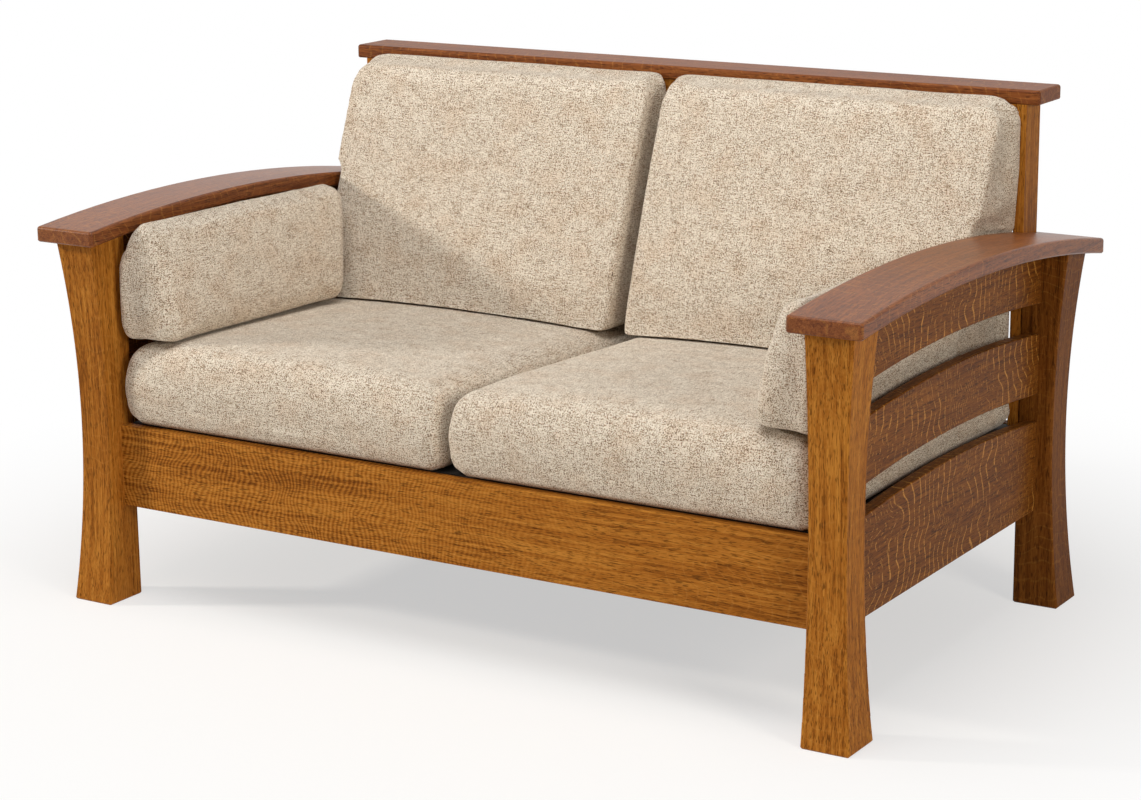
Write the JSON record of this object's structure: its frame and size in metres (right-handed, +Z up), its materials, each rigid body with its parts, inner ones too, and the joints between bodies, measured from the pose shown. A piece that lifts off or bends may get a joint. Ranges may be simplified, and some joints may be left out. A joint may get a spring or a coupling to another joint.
{
  "type": "loveseat",
  "caption": "Two-seat oak settee with bowed arm boards over slatted open sides, hollowed square legs, a low front rail and loose seat, arm and back cushions.",
  "frame": {"origin": "on the floor, under the middle of the footprint", "axes": "+Z up, -Y towards the front where the sitters' legs hang, +X along the seat towards the right-hand arm as seen from the front"},
  "size_m": [1.509, 0.901, 0.8636],
  "materials": {
    "oak": "satin",
    "deck_wood": "matte",
    "dowel_wood": "matte",
    "cushion_fabric": "matte",
    "deck_cloth": "matte",
    "spring_steel": "satin",
    "screw_steel": "satin"
  },
  "bodies": {
    "frame": {"arm_cap_dowels": "dowel_wood", "arm_cap_left": "oak", "arm_cap_right": "oak", "back_bottom_rail": "oak", "back_slat_1": "oak", "back_slat_2": "oak", "back_slat_3": "oak", "back_slat_4": "oak", "back_slat_5": "oak", "back_slat_6": "oak", "back_slat_7": "oak", "back_slat_8": "oak", "back_slat_9": "oak", "back_stile_left": "oak", "back_stile_right": "oak", "back_top_rail": "oak", "centre_rail": "deck_wood", "cleat_screws": "screw_steel", "crest_cap": "oak", "crest_dowels": "dowel_wood", "deck_centre_board": "deck_wood", "deck_cloth": "deck_cloth", "deck_front_board": "deck_wood", "deck_left_board": "deck_wood", "deck_rear_board": "deck_wood", "deck_right_board": "deck_wood", "deck_screws": "screw_steel", "front_cleat": "deck_wood", "front_leg_left": "oak", "front_leg_right": "oak", "front_rail": "oak", "rear_cleat": "deck_wood", "rear_leg_left": "oak", "rear_leg_right": "oak", "rear_rail": "oak", "seat_spring_1": "spring_steel", "seat_spring_2": "spring_steel", "seat_spring_3": "spring_steel", "seat_spring_4": "spring_steel", "seat_spring_5": "spring_steel", "seat_spring_6": "spring_steel", "side_bottom_rail_left": "oak", "side_bottom_rail_right": "oak", "side_middle_slat_left": "oak", "side_middle_slat_right": "oak", "side_top_rail_left": "oak", "side_top_rail_right": "oak", "spring_clips": "spring_steel", "stile_screws": "screw_steel"},
    "seat_cushion_left_body": {"seat_cushion_left": "cushion_fabric"},
    "seat_cushion_right_body": {"seat_cushion_right": "cushion_fabric"},
    "arm_cushion_left_body": {"arm_cushion_left": "cushion_fabric"},
    "arm_cushion_right_body": {"arm_cushion_right": "cushion_fabric"},
    "back_cushion_left_body": {"back_cushion_left": "cushion_fabric"},
    "back_cushion_right_body": {"back_cushion_right": "cushion_fabric"}
  },
  "joints": [
    {"name": "seat_cushion_left_slide", "type": "slide", "parent": "frame", "child": "seat_cushion_left_body", "axis": [0, -1, 0], "range_m": [0, 0.25]},
    {"name": "arm_cushion_left_slide", "type": "slide", "parent": "frame", "child": "arm_cushion_left_body", "axis": [0, -0.9991, 0.0419], "range_m": [0, 0.25]},
    {"name": "back_cushion_left_lift", "type": "slide", "parent": "frame", "child": "back_cushion_left_body", "axis": [0, 0, 1], "range_m": [0, 0.03]},
    {"name": "seat_cushion_right_slide", "type": "slide", "parent": "frame", "child": "seat_cushion_right_body", "axis": [0, -1, 0], "range_m": [0, 0.25]},
    {"name": "arm_cushion_right_slide", "type": "slide", "parent": "frame", "child": "arm_cushion_right_body", "axis": [0, -0.9991, 0.0419], "range_m": [0, 0.25]},
    {"name": "back_cushion_right_lift", "type": "slide", "parent": "frame", "child": "back_cushion_right_body", "axis": [0, 0, 1], "range_m": [0, 0.03]}
  ]
}
